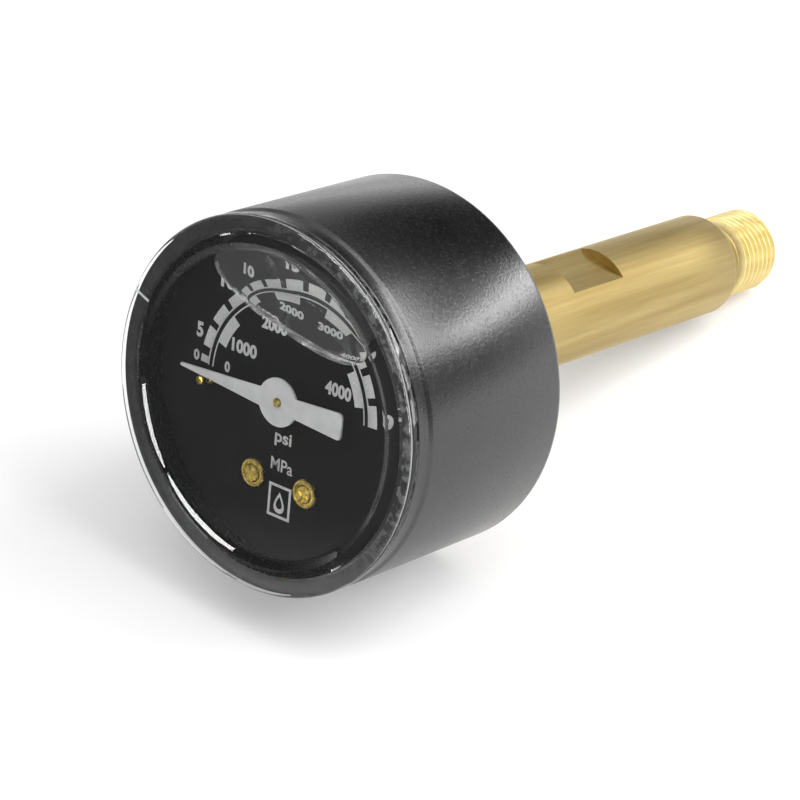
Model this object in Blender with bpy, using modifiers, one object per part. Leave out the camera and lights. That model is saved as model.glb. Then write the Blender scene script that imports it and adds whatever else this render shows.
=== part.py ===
"""Liquid-filled 40 mm pressure gauge with a centre-back brass stem.

World frame, metres: the origin is on the gauge axis at the stem's shoulder, the face that seats on a port.
+Y runs down the stem to the threaded end, the dial looks along -Y, +X is right and +Z is up on the dial.
Everything hangs on the empty gauge_frame, whose own axes are X right, Y up and Z out of the dial, so in
this file a height z is a distance in front of the shoulder.
"""
import math

import bmesh
import bpy
from mathutils import Matrix, Vector

MM = 0.001

# ---- driving dimensions, millimetres -------------------------------------------------------------------
CASE_R = 20.0                 # nominal size 40
WINDOW_Z = 78.0               # front of the window
WINDOW_FLANGE = 1.0           # flange that laps the rim of the case
WINDOW_DISC = 1.1
WINDOW_STEP = 0.5             # the viewing area lies this much behind the flange
STEP_R = (16.0, 17.1)         # foot and top of the round step between them
SKIRT_R_OUT = 17.9
SKIRT_R_IN = 16.8
DIAL_Z = 70.9                 # printed face of the dial
DIAL_T = 0.6
DIAL_R = 17.9
CASE_FRONT_Z = 76.5
CASE_BACK_Z = 53.7
CASE_BORE_R = 18.2            # front bore, takes the window's skirt and the dial
CASE_WALL_R = 17.2            # inner wall behind the dial
CASE_FLOOR = 2.1              # thickness of the back wall
STEM_R = 5.95
STEM_HOLE_R = 6.25
FLANGE_R = 11.2
BOSS_R = 5.5
BOSS_Z = 62.5
BORE_R = 1.5
THREAD_R = 4.864              # major radius of a G 1/8 thread
THREAD_LENGTH = 8.5
NECK_R = 4.2
NECK_LENGTH = 1.2
SHOULDER_CHAMFER = (1.0, 1.8)  # across and along
FLATS_ACROSS = 10.0
FLATS_Z = (22.8, 31.8)
FLATS_ROLL = math.radians(-15.0)
CASE_SCREW_X = 9.2
PLUG_Y = 14.0

# movement
FRONT_PLATE_Z = 68.0          # outer face of the front plate
BACK_PLATE_Z = 63.6           # inner face of the back plate
PLATE_T = 1.0
PLATE_X = 5.6
PLATE_Y = 11.4
DIAL_SCREW_XY = (3.6, -9.3)
STOP_PIN_XY = (-10.9, -1.0)   # just under the pointer at zero
UPPER_PILLAR_XY = (-4.0, 9.4)
MOVEMENT_SCREW_X = 3.4
MODULE = 0.25
PINION_TEETH = 10
SECTOR_TEETH = 60             # teeth of the full circle that the sector is a part of
SECTOR_Z = 65.6
SECTOR_T = 0.8
SECTOR_SWING = math.radians(30.0)
ARBOR_Y = MODULE * (PINION_TEETH + SECTOR_TEETH) / 2
TAIL_R = 5.0
TIP_R = 11.5                  # radius of the link pin on the tube's tip
LINK_Z = 64.5
LINK_T = 0.6
LINK_PIN_R = 0.45

# Bourdon tube
COIL_R = 14.3
COIL_TURNS = 2.75
COIL_PITCH = 2.8
COIL_Z = 59.7
TUBE_RADIAL = 0.6             # half width across the flattened tube
TUBE_AXIAL = 1.0
HAIRSPRING_R = (1.4, 3.2)      # innermost and outermost turn
HAIRSPRING_Z = (BACK_PLATE_Z + SECTOR_Z + 0.1) / 2 + 0.15   # between the back plate and the sector

POINTER_Z = 73.1
POINTER_T = 0.5
POINTER_TIP = 13.8
POINTER_TAIL = 8.7
HUB_R = 2.6
GAP = 0.3
FIT = 0.1                     # radial gap of small pieces that sit in one another

model = {}


# ---- scene, materials and small helpers ----------------------------------------------------------------
def clear_scene():
    for obj in list(bpy.data.objects):
        bpy.data.objects.remove(obj, do_unlink=True)


def collection(name):
    found = bpy.data.collections.new(name)
    bpy.context.scene.collection.children.link(found)
    return found


def material(name, color, roughness, metallic=0.0, alpha=1.0):
    made = bpy.data.materials.new(name)
    made.use_nodes = True
    shader = made.node_tree.nodes["Principled BSDF"]
    shader.inputs["Base Color"].default_value = (*color, 1.0)
    shader.inputs["Roughness"].default_value = roughness
    shader.inputs["Metallic"].default_value = metallic
    shader.inputs["Alpha"].default_value = alpha
    return made


def brass_material(name):
    return material(name + "_brass", (0.72, 0.53, 0.24), 0.3, 1.0)


def steel_material(name):
    return material(name + "_steel", (0.62, 0.62, 0.6), 0.35, 1.0)


def rubber_material(name):
    return material(name + "_rubber", (0.02, 0.02, 0.02), 0.6)


def add(name, data, mat, where=(0.0, 0.0, 0.0), folder="parts"):
    obj = bpy.data.objects.new(name, data)
    model[folder].objects.link(obj)
    obj.location = [v * MM for v in where]
    if folder == "parts":
        data.materials.append(mat)
        obj.parent = model["frame"]
    else:
        obj.hide_render = True
        obj.display_type = "WIRE"
        obj.parent = model["frame"]
    return obj


def smooth(obj, degrees=35.0):
    obj.data.shade_smooth()
    obj.data.set_sharp_from_angle(angle=math.radians(degrees))


def turned(name, profile, mat, steps=32, where=(0.0, 0.0, 0.0), folder="parts"):
    """Solid of revolution about Z. The profile runs down the outer side and is closed by its last point,
    except where both of its ends lie on the axis."""
    mesh = bpy.data.meshes.new(name)
    points = [(r * MM, 0.0, z * MM) for r, z in profile]
    edges = [(i, i + 1) for i in range(len(points) - 1)]
    if profile[0][0] > 0.0:
        edges.append((len(points) - 1, 0))
    mesh.from_pydata(points, edges, [])
    obj = add(name, mesh, mat, where, folder)
    screw = obj.modifiers.new("turn", "SCREW")
    screw.axis = "Z"
    screw.steps = steps
    screw.render_steps = steps
    screw.use_merge_vertices = True
    screw.merge_threshold = 1e-5
    screw.use_smooth_shade = True
    return obj


def arc(radius, start, end, count, centre=(0.0, 0.0)):
    """Points along an arc, angles in radians."""
    steps = [start + (end - start) * i / (count - 1) for i in range(count)]
    return [(centre[0] + radius * math.cos(a), centre[1] + radius * math.sin(a)) for a in steps]


def circle(radius, centre=(0.0, 0.0), count=16):
    step = 2 * math.pi / count
    return [(centre[0] + radius * math.cos(i * step), centre[1] + radius * math.sin(i * step))
            for i in range(count)]


def flat(name, outlines, z, thickness, mat, where=(0.0, 0.0)):
    """Sheet of the given thickness standing on height z. The first outline is the edge, others are holes."""
    curve = bpy.data.curves.new(name, "CURVE")
    curve.dimensions = "2D"
    curve.fill_mode = "BOTH"
    curve.extrude = thickness / 2 * MM
    for outline in outlines:
        spline = curve.splines.new("POLY")
        spline.points.add(len(outline) - 1)
        for point, (x, y) in zip(spline.points, outline):
            point.co = (x * MM, y * MM, 0.0, 1.0)
        spline.use_cyclic_u = True
    return add(name, curve, mat, (where[0], where[1], z + thickness / 2))


def to_mesh(obj, folder="parts"):
    """The same object as a welded mesh, so that it can be cut or joined."""
    name = obj.name
    depsgraph = bpy.context.evaluated_depsgraph_get()
    mesh = bpy.data.meshes.new_from_object(obj.evaluated_get(depsgraph))
    matrix = obj.matrix_world.copy()
    bpy.data.objects.remove(obj, do_unlink=True)
    work = bmesh.new()
    work.from_mesh(mesh)
    bmesh.ops.remove_doubles(work, verts=work.verts, dist=1e-6)
    bmesh.ops.recalc_face_normals(work, faces=work.faces)
    work.to_mesh(mesh)
    work.free()
    made = bpy.data.objects.new(name, mesh)
    model[folder].objects.link(made)
    made.parent = model["frame"]
    made.matrix_world = matrix
    return made


def boolean(obj, cutter, operation="DIFFERENCE"):
    step = obj.modifiers.new(cutter.name, "BOOLEAN")
    step.object = cutter
    step.operation = operation
    step.solver = "EXACT"


def drill(obj, name, radius, z_low, z_high, xy, count=16):
    """Round hole along Z, its facets turned off the seam of the piece it cuts."""
    profile = [(0.0, z_high), (radius, z_high), (radius, z_low), (0.0, z_low)]
    cutter = turned(name, profile, None, count, (xy[0], xy[1], 0.0), "cutters")
    cutter.rotation_euler = (0.0, 0.0, 0.37 * 2 * math.pi / count)
    boolean(obj, cutter)


def block_cutter(name, size, where, roll=0.0):
    bpy.ops.mesh.primitive_cube_add(size=1.0)
    cutter = bpy.context.object
    cutter.name = name
    for old in list(cutter.users_collection):
        old.objects.unlink(cutter)
    model["cutters"].objects.link(cutter)
    cutter.data.transform(scale_matrix(size))
    cutter.parent = model["frame"]
    cutter.location = [v * MM for v in where]
    cutter.rotation_euler = (0.0, 0.0, roll)
    cutter.hide_render = True
    cutter.display_type = "WIRE"
    return cutter


def scale_matrix(size):
    return Matrix.Diagonal((size[0] * MM, size[1] * MM, size[2] * MM, 1.0))


def sheath(name, points, mat, radius=None, section=None, resolution=2):
    """Wire or tube along the points: round with a radius, or with a guide curve for its section."""
    curve = bpy.data.curves.new(name, "CURVE")
    curve.dimensions = "3D"
    curve.twist_mode = "Z_UP"
    curve.use_fill_caps = True
    spline = curve.splines.new("POLY")
    spline.points.add(len(points) - 1)
    for point, (x, y, z) in zip(spline.points, points):
        point.co = (x * MM, y * MM, z * MM, 1.0)
    if section:
        curve.bevel_mode = "OBJECT"
        curve.bevel_object = section
    else:
        curve.bevel_depth = radius * MM
        curve.bevel_resolution = resolution
    return add(name, curve, mat)


# ---- case, window and seals ----------------------------------------------------------------------------
def make_case():
    z0, z1 = CASE_BACK_Z, CASE_FRONT_Z
    edge = 0.9
    band_r, band_z = CASE_R - 0.3, z1 - 1.5
    seat_z = DIAL_Z - DIAL_T - 0.2
    corner = [(CASE_R - edge + x, z0 + edge + z) for x, z in arc(edge, 0.0, -math.pi / 2, 5)]
    profile = [(band_r - 0.2, z1), (band_r, z1 - 0.2), (band_r, band_z), (CASE_R, band_z - 0.35)]
    profile += corner
    profile += [(STEM_HOLE_R, z0), (STEM_HOLE_R, z0 + CASE_FLOOR), (CASE_WALL_R, z0 + CASE_FLOOR)]
    profile += [(CASE_WALL_R, seat_z), (CASE_BORE_R, seat_z), (CASE_BORE_R, z1)]
    case = turned("case", profile, material("case_black", (0.025, 0.025, 0.026), 0.42), 72)
    for side, x in (("left", -CASE_SCREW_X), ("right", CASE_SCREW_X)):
        drill(case, f"case_screw_hole_{side}", 1.15, z0 - 1, z0 + CASE_FLOOR + 1, (x, 0.0))
        drill(case, f"case_screw_recess_{side}", 2.1, z0 - 1, z0 + 1.1, (x, 0.0), 20)
    drill(case, "fill_hole", 2.45, z0 - 1, z0 + CASE_FLOOR + 1, (0.0, PLUG_Y), 20)
    return case


def make_window():
    front, back = WINDOW_Z, WINDOW_Z - WINDOW_FLANGE
    inner = front - WINDOW_STEP
    skirt_end = DIAL_Z + GAP
    round_r = 0.6
    corner = [(CASE_R - round_r + x, front - round_r + z) for x, z in arc(round_r, math.pi / 2, 0.0, 4)]
    foot, top = STEP_R
    step = [(foot + (top - foot) * math.sin(a), front - WINDOW_STEP * math.cos(a))
            for a in (0.0, math.pi / 6, math.pi / 3, math.pi / 2)]
    profile = [(0.0, inner)] + step + corner
    profile += [(CASE_R, back), (SKIRT_R_OUT, back), (SKIRT_R_OUT, skirt_end), (SKIRT_R_IN, skirt_end)]
    profile += [(SKIRT_R_IN, inner - WINDOW_DISC), (0.0, inner - WINDOW_DISC)]
    return turned("window", profile, material("window_clear", (0.9, 0.92, 0.92), 0.03, 0.0, 0.25), 72)


def make_window_seal():
    z0, z1 = CASE_FRONT_Z + FIT, WINDOW_Z - WINDOW_FLANGE - FIT
    profile = [(19.6, z1), (19.6, z0), (18.4, z0), (18.4, z1)]
    return turned("window_seal", profile, rubber_material("window_seal"), 72)


def make_fill_plug():
    face, floor = CASE_BACK_Z, CASE_BACK_Z + CASE_FLOOR
    profile = [(0.0, floor + 1.0), (2.1, floor + 1.0), (2.6, floor + 0.25), (2.2, floor + 0.25),
               (2.2, face - 0.15), (3.4, face - 0.15), (3.1, face - 1.0), (0.0, face - 1.0)]
    where = (0.0, PLUG_Y, 0.0)
    return turned("fill_plug", profile, rubber_material("fill_plug"), 24, where)


def make_stem_seal():
    floor = CASE_BACK_Z + CASE_FLOOR
    ring = [(7.4 + x, floor + 0.5 + z) for x, z in circle(0.4, count=8)]
    return turned("stem_seal", ring[::-1], rubber_material("stem_seal"), 32)


def make_case_screw(side, x):
    """Pan-head screw from behind into the stem's flange, with a driver slot."""
    head_z = CASE_BACK_Z + 1.1 - FIT
    tip_z = CASE_BACK_Z + CASE_FLOOR + 2.6
    profile = [(0.0, tip_z), (0.85, tip_z), (0.85, head_z), (1.8, head_z), (1.8, head_z - 0.7),
               (1.5, head_z - 0.95), (0.0, head_z - 0.95)]
    name = f"case_screw_{side}"
    screw = turned(name, profile, steel_material(name), 20, (x, 0.0, 0.0))
    slot = block_cutter(f"{name}_slot", (0.5, 4.0, 1.0), (x, 0.0, head_z - 0.95), math.radians(25))
    boolean(screw, slot)
    return screw


# ---- brass stem ----------------------------------------------------------------------------------------
def make_stem():
    end = -THREAD_LENGTH
    flange_z0, flange_z1 = CASE_BACK_Z + CASE_FLOOR + 1.0, CASE_BACK_Z + CASE_FLOOR + 2.4
    profile = [(BOSS_R - 0.3, BOSS_Z), (BOSS_R, BOSS_Z - 0.3), (BOSS_R, flange_z1), (FLANGE_R, flange_z1),
               (FLANGE_R, flange_z0), (STEM_R, flange_z0), (STEM_R, SHOULDER_CHAMFER[1]),
               (STEM_R - SHOULDER_CHAMFER[0], 0.0), (NECK_R, 0.0), (NECK_R, -NECK_LENGTH),
               (THREAD_R, -NECK_LENGTH - 0.5), (THREAD_R, end + 0.5), (THREAD_R - 0.6, end),
               (BORE_R + 0.3, end), (BORE_R, end + 0.3),
               (BORE_R, BOSS_Z - 2.5), (0.0, BOSS_Z - 1.6)]
    profile = [(0.0, BOSS_Z)] + profile
    stem = turned("stem", profile, brass_material("stem"), 48)
    z_low, z_high = FLATS_Z
    for side in (-1, 1):
        reach = FLATS_ACROSS / 2 + 2.0
        where = (-math.sin(FLATS_ROLL) * side * reach, math.cos(FLATS_ROLL) * side * reach,
                 (z_low + z_high) / 2)
        cutter = block_cutter(f"flat_cutter_{'lower' if side < 0 else 'upper'}",
                              (14.0, 4.0, z_high - z_low), where, FLATS_ROLL)
        boolean(stem, cutter)
    for side, x in (("left", -CASE_SCREW_X), ("right", CASE_SCREW_X)):
        drill(stem, f"flange_hole_{side}", 0.85 + FIT, flange_z0 - 1, flange_z1 + 1, (x, 0.0), 12)
    for side, x in (("left", -MOVEMENT_SCREW_X), ("right", MOVEMENT_SCREW_X)):
        drill(stem, f"boss_hole_{side}", 0.6 + FIT, BOSS_Z - 2.4, BOSS_Z + 1, (x, 0.0), 12)
    return stem


def make_restrictor():
    z0, z1 = -THREAD_LENGTH + 0.7, -THREAD_LENGTH + 3.7
    radius = BORE_R - 0.15
    profile = [(radius - 0.2, z1), (radius, z1 - 0.2), (radius, z0 + 0.2), (radius - 0.2, z0), (0.3, z0),
               (0.3, z1)]
    screw = turned("restrictor_screw", profile, brass_material("restrictor_screw"), 20)
    boolean(screw, block_cutter("restrictor_slot", (0.35, 4.0, 1.2), (0.0, 0.0, z0)))
    return screw


# ---- dial and what shows in front of it ----------------------------------------------------------------
def make_dial():
    holes = [circle(1.3), circle(0.45, STOP_PIN_XY, 12)]
    holes += [circle(0.95, (side * DIAL_SCREW_XY[0], DIAL_SCREW_XY[1])) for side in (-1, 1)]
    black = material("dial_black", (0.03, 0.03, 0.03), 0.5)
    return flat("dial_plate", [circle(DIAL_R, count=72)] + holes, DIAL_Z - DIAL_T, DIAL_T, black)


def make_stop_pin():
    """Pin riveted in the dial, with a collar at its foot and a head as high as the pointer."""
    foot, top = DIAL_Z + 0.12, POINTER_Z + POINTER_T + 0.1
    shank = DIAL_Z - DIAL_T
    profile = [(0.0, top), (0.32, top), (0.5, top - 0.18), (0.5, top - 0.9), (0.42, top - 1.0),
               (0.42, foot + 0.55), (0.72, foot + 0.4), (0.72, foot), (0.32, foot), (0.32, shank),
               (0.0, shank)]
    return turned("stop_pin", profile, brass_material("stop_pin"), 16, (*STOP_PIN_XY, 0.0))


def make_dial_screw(side, x):
    """Rimmed cheese-head screw through dial, spacer and front plate into the pillar behind."""
    under = DIAL_Z + FIT
    tip = FRONT_PLATE_Z - PLATE_T - 1.2
    profile = [(0.0, under + 0.75), (1.0, under + 0.75), (1.15, under + 0.5), (1.55, under + 0.5),
               (1.6, under + 0.4), (1.6, under), (0.6, under), (0.6, tip), (0.0, tip)]
    name = f"dial_screw_{side}"
    screw = turned(name, profile, brass_material(name), 24, (x, DIAL_SCREW_XY[1], 0.0))
    top = (x, DIAL_SCREW_XY[1], under + 0.85)
    boolean(screw, block_cutter(f"{name}_slot", (0.36, 1.5, 0.7), top, math.radians(30)))
    return screw


def make_dial_spacer(side, x):
    z0, z1 = FRONT_PLATE_Z + GAP, DIAL_Z - DIAL_T - GAP
    profile = [(1.4, z1), (1.4, z0), (0.8, z0), (0.8, z1)]
    name = f"dial_spacer_{side}"
    return turned(name, profile, brass_material(name), 20, (x, DIAL_SCREW_XY[1], 0.0))


def pointer_outline():
    """Blade to the left, hub, and a tail that widens to the right."""
    blade_root, tip_half, tail_root, tail_half = 0.95, 0.14, 1.05, 1.45
    upper = math.asin(blade_root / HUB_R)
    lower = math.asin(tail_root / HUB_R)
    over = arc(HUB_R, math.pi - upper, lower, 13)
    under = arc(HUB_R, -lower, -math.pi + upper, 13)
    tail = [(POINTER_TAIL - 0.5, tail_half), (POINTER_TAIL, tail_half - 0.5),
            (POINTER_TAIL, -tail_half + 0.5), (POINTER_TAIL - 0.5, -tail_half)]
    return [(-POINTER_TIP, tip_half)] + over + tail + under + [(-POINTER_TIP, -tip_half)]


def make_pointer():
    """Flat blade with a short hub behind it, bored for the arbor."""
    bore = 0.45 + 0.06
    white = material("pointer_white", (0.75, 0.75, 0.73), 0.45)
    blade = to_mesh(flat("pointer", [pointer_outline(), circle(bore)], POINTER_Z, POINTER_T, white))
    top, low = POINTER_Z + POINTER_T / 2, POINTER_Z - 1.0
    hub = turned("pointer_hub", [(1.2, top), (1.2, low), (bore + 0.02, low), (bore + 0.02, top)], None, 24,
                 folder="cutters")
    boolean(blade, hub, "UNION")
    return blade


# ---- movement ------------------------------------------------------------------------------------------
def rounded_plate(half_x, half_y, radius):
    corners = [(half_x - radius, half_y - radius, 0.0), (radius - half_x, half_y - radius, 0.5),
               (radius - half_x, radius - half_y, 1.0), (half_x - radius, radius - half_y, 1.5)]
    points = []
    for x, y, turn in corners:
        points += arc(radius, turn * math.pi, (turn + 0.5) * math.pi, 5, (x, y))
    return points


def pillar_places():
    x, y = DIAL_SCREW_XY
    return {"lower_left": (-x, y), "lower_right": (x, y), "upper": UPPER_PILLAR_XY}


def make_front_plate():
    holes = [circle(0.75 + FIT), circle(0.4 + FIT, (0.0, ARBOR_Y), 12)]
    holes += [circle(0.6 + FIT, place, 12) for place in pillar_places().values()]
    outline = rounded_plate(PLATE_X, PLATE_Y, 2.4)
    name = "movement_front_plate"
    return flat(name, [outline] + holes, FRONT_PLATE_Z - PLATE_T, PLATE_T, brass_material(name))


def make_back_plate():
    holes = [circle(0.4 + FIT, count=12), circle(0.4 + FIT, (0.0, ARBOR_Y), 12)]
    holes += [circle(0.5 + FIT, place, 12) for place in pillar_places().values()]
    holes += [circle(0.6 + FIT, (side * MOVEMENT_SCREW_X, 0.0), 12) for side in (-1, 1)]
    outline = rounded_plate(PLATE_X, PLATE_Y, 2.4)
    name = "movement_back_plate"
    return flat(name, [outline] + holes, BACK_PLATE_Z - 0.8, 0.8, brass_material(name))


def make_pillar(side, place):
    top = FRONT_PLATE_Z - PLATE_T - FIT
    low = BACK_PLATE_Z + FIT
    profile = [(0.0, top - 1.6), (0.6 + FIT, top - 1.6), (0.6 + FIT, top), (1.0, top), (1.0, low),
               (0.5, low), (0.5, BACK_PLATE_Z - 0.8), (0.0, BACK_PLATE_Z - 0.8)]
    name = f"pillar_{side}"
    return turned(name, profile, brass_material(name), 16, (*place, 0.0))


def make_pillar_screw():
    under = FRONT_PLATE_Z + FIT
    tip = FRONT_PLATE_Z - PLATE_T - 1.2
    profile = [(0.0, under + 0.7), (1.2, under + 0.7), (1.2, under), (0.6, under), (0.6, tip), (0.0, tip)]
    screw = turned("pillar_screw", profile, steel_material("pillar_screw"), 16, (*UPPER_PILLAR_XY, 0.0))
    top = (*UPPER_PILLAR_XY, under + 0.7)
    boolean(screw, block_cutter("pillar_screw_slot", (0.3, 3.0, 0.6), top))
    return screw


def make_movement_screw(side, x):
    under = BACK_PLATE_Z + FIT
    tip = BOSS_Z - 1.8
    profile = [(0.0, under + 0.6), (1.1, under + 0.6), (1.1, under), (0.6, under), (0.6, tip), (0.0, tip)]
    name = f"movement_screw_{side}"
    screw = turned(name, profile, steel_material(name), 16, (x, 0.0, 0.0))
    boolean(screw, block_cutter(f"{name}_slot", (0.3, 3.0, 0.6), (x, 0.0, under + 0.6)))
    return screw


def gear_teeth(teeth, first, count, phase, centre):
    """Outline points of some teeth. The angle phase is the middle of tooth number zero."""
    pitch_r = MODULE * teeth / 2
    pitch = 2 * math.pi / teeth
    points = []
    for i in range(first, first + count):
        middle = phase + i * pitch
        for offset, r in ((-0.3, pitch_r - 1.25 * MODULE), (-0.11, pitch_r + 0.9 * MODULE),
                          (0.11, pitch_r + 0.9 * MODULE), (0.3, pitch_r - 1.25 * MODULE)):
            a = middle + offset * pitch
            points.append((centre[0] + r * math.cos(a), centre[1] + r * math.sin(a)))
    return points


def make_pinion_arbor():
    """Tapered spindle with the pinion cut on it."""
    top = POINTER_Z + POINTER_T + 0.45
    pinion_z = SECTOR_Z - 0.2
    profile = [(0.0, top), (0.36, top), (0.45, top - 0.12), (0.45, POINTER_Z - 1.4),
               (0.75, POINTER_Z - 1.4), (0.75, SECTOR_Z + SECTOR_T + 0.2), (0.6, SECTOR_Z + SECTOR_T + 0.2),
               (0.6, BACK_PLATE_Z + 0.25), (0.4, BACK_PLATE_Z + 0.25), (0.4, BACK_PLATE_Z - 0.6),
               (0.0, BACK_PLATE_Z - 0.6)]
    arbor = turned("pinion_arbor", profile, brass_material("pinion_arbor"), 20)
    phase = math.pi / 2 + math.pi / PINION_TEETH
    outline = gear_teeth(PINION_TEETH, 0, PINION_TEETH, phase, (0.0, 0.0))
    teeth = to_mesh(flat("pinion_teeth", [outline], pinion_z, SECTOR_T + 0.4, None), "cutters")
    teeth.hide_render = True
    teeth.display_type = "WIRE"
    boolean(arbor, teeth, "UNION")
    return arbor


def make_sector():
    """Toothed sector hanging from its arbor towards the pinion, with a tail for the link."""
    centre = (0.0, ARBOR_Y)
    rest_tail = -SECTOR_SWING / 2
    pitch = 2 * math.pi / SECTOR_TEETH
    teeth_each = int(round(SECTOR_SWING / pitch))
    down = -math.pi / 2
    rim = gear_teeth(SECTOR_TEETH, -teeth_each - 1, teeth_each + 3, down, centre)
    pitch_r = MODULE * SECTOR_TEETH / 2
    start = down - (teeth_each + 1.6) * pitch
    end = down + 1.6 * pitch
    rim_r = pitch_r - 1.25 * MODULE
    left = (centre[0] + rim_r * math.cos(start), centre[1] + rim_r * math.sin(start))
    right = (centre[0] + rim_r * math.cos(end), centre[1] + rim_r * math.sin(end))
    pin = (centre[0] + TAIL_R * math.cos(rest_tail), centre[1] + TAIL_R * math.sin(rest_tail))
    eye = arc(0.95, rest_tail - 1.9, rest_tail + 1.9, 9, pin)
    hub = arc(1.6, rest_tail + 0.6, rest_tail + 0.6 + math.pi * 0.95, 9, centre)
    outline = [left] + rim + [right] + eye + hub
    holes = [circle(0.6 + FIT, centre, 12), circle(LINK_PIN_R + FIT, pin, 12)]
    return flat("sector_gear", [outline] + holes, SECTOR_Z, SECTOR_T, brass_material("sector_gear"))


def tail_pin_xy():
    rest = -SECTOR_SWING / 2
    return (TAIL_R * math.cos(rest), ARBOR_Y + TAIL_R * math.sin(rest))


def tip_pin_xy():
    half_travel = TAIL_R * math.sin(SECTOR_SWING / 2)
    return (math.sqrt(TIP_R ** 2 - half_travel ** 2), -half_travel)


def make_sector_arbor():
    top, low = FRONT_PLATE_Z - PLATE_T, BACK_PLATE_Z
    profile = [(0.0, top + 0.7), (0.4, top + 0.7), (0.4, top - 0.2), (0.6, top - 0.2), (0.6, low + 0.2),
               (0.4, low + 0.2), (0.4, low - 0.6), (0.0, low - 0.6)]
    name = "sector_arbor"
    return turned(name, profile, steel_material(name), 16, (0.0, ARBOR_Y, 0.0))


def make_link_pin(name, z_low, z_high, place):
    profile = [(0.0, z_high), (LINK_PIN_R, z_high), (LINK_PIN_R, z_low), (0.0, z_low)]
    return turned(name, profile, steel_material(name), 16, (*place, 0.0))


def make_link():
    """Strap with an eye at each end."""
    a, b = Vector(tip_pin_xy()), Vector(tail_pin_xy())
    along = (b - a).normalized()
    heading = math.atan2(along.y, along.x)
    eye_r = 0.95
    outline = arc(eye_r, heading + math.pi / 2 + 0.5, heading + 3 * math.pi / 2 - 0.5, 9, a)
    outline += arc(eye_r, heading - math.pi / 2 + 0.5, heading + math.pi / 2 - 0.5, 9, b)
    holes = [circle(LINK_PIN_R + 0.15, a, 12), circle(LINK_PIN_R + 0.08, b, 12)]
    return flat("link", [outline] + holes, LINK_Z, LINK_T, brass_material("link"))


def make_collet():
    z0, z1 = BACK_PLATE_Z + 0.5, SECTOR_Z - 0.4
    profile = [(1.1, z1), (1.1, z0), (0.68, z0), (0.68, z1)]
    return turned("hairspring_collet", profile, brass_material("hairspring_collet"), 16)


def make_hairspring():
    turns, per_turn = 3.0, 12
    count = int(turns * per_turn) + 1
    inner, outer = HAIRSPRING_R
    points = []
    for i in range(count):
        part = i / (count - 1)
        angle = -math.pi / 2 - 2 * math.pi * turns * (1 - part)
        radius = inner + (outer - inner) * part
        points.append((radius * math.cos(angle), radius * math.sin(angle), HAIRSPRING_Z))
    bronze = material("hairspring_bronze", (0.6, 0.42, 0.25), 0.3, 1.0)
    return sheath("hairspring", points, bronze, radius=0.07, resolution=0)


def make_stud():
    z0, z1 = BACK_PLATE_Z + FIT, SECTOR_Z - 0.3
    profile = [(0.0, z1), (0.4, z1), (0.4, z0), (0.0, z0)]
    where = (0.0, -HAIRSPRING_R[1] - 0.7, 0.0)
    return turned("hairspring_stud", profile, steel_material("hairspring_stud"), 16, where)


# ---- Bourdon tube --------------------------------------------------------------------------------------
def coil_point(part, end_angle):
    """Point of the coil, part 0 at its fixed end and 1 at its tip; it runs clockwise seen from the dial."""
    angle = end_angle + 2 * math.pi * COIL_TURNS * (1 - part)
    z = COIL_Z + COIL_PITCH * COIL_TURNS * part
    return angle, z


def make_bourdon_tube():
    end_angle = math.radians(-1.0)
    lead = []
    start_angle, start_z = coil_point(0.0, end_angle)
    lead_turn, lead_count = math.radians(70), 7
    for i in range(lead_count):
        t = i / lead_count
        radius = BOSS_R + GAP + (COIL_R - BOSS_R - GAP) * math.sin(t * math.pi / 2)
        angle = start_angle + lead_turn * (1 - t)
        lead.append((radius * math.cos(angle), radius * math.sin(angle), start_z))
    coil = []
    count = int(COIL_TURNS * 18)
    for i in range(count + 1):
        angle, z = coil_point(i / count, end_angle)
        coil.append((COIL_R * math.cos(angle), COIL_R * math.sin(angle), z))
    oval = bpy.data.curves.new("tube_section", "CURVE")
    oval.dimensions = "2D"
    spline = oval.splines.new("POLY")
    outline = circle(1.0, count=8)
    spline.points.add(len(outline) - 1)
    for point, (x, y) in zip(spline.points, outline):
        point.co = (x * TUBE_RADIAL * MM, y * TUBE_AXIAL * MM, 0.0, 1.0)
    spline.use_cyclic_u = True
    section = add("tube_section", oval, None, folder="cutters")
    bronze = material("bourdon_bronze", (0.62, 0.42, 0.24), 0.35, 1.0)
    return to_mesh(sheath("bourdon_tube", lead + coil, bronze, section=section))


def make_tube_tip():
    """Block soldered on the tube's end, with a lever that carries the link's pin."""
    pin = tip_pin_xy()
    heading = math.atan2(pin[1], pin[0])
    tip_z = coil_point(1.0, 0.0)[1]
    lever_z = LINK_Z + LINK_T + 0.9
    lever_t = 0.7
    eye = arc(0.95, heading + math.pi / 2 + 0.3, heading + 3 * math.pi / 2 - 0.3, 9, pin)
    out = Vector((math.cos(heading), math.sin(heading)))
    side = Vector((-out.y, out.x))
    far = [out * (COIL_R + 0.2) - side * 0.8, out * (COIL_R + 0.2) + side * 0.8]
    outline = eye + [tuple(point) for point in far]
    name = "tube_tip"
    lever = to_mesh(flat(name, [outline, circle(LINK_PIN_R + FIT, pin, 12)], lever_z, lever_t,
                         brass_material(name)))
    centre = out * COIL_R
    block_cutter("tip_block", (2.0, 1.8, 3.1), (centre.x, centre.y, tip_z + 0.15), heading)
    boolean(lever, bpy.data.objects["tip_block"], "UNION")
    return lever


# ---- assembly ------------------------------------------------------------------------------------------
def make_frame():
    frame = bpy.data.objects.new("gauge_frame", None)
    model["parts"].objects.link(frame)
    frame.rotation_euler = (math.pi / 2, 0.0, 0.0)
    model["frame"] = frame
    bpy.context.view_layer.update()


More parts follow.
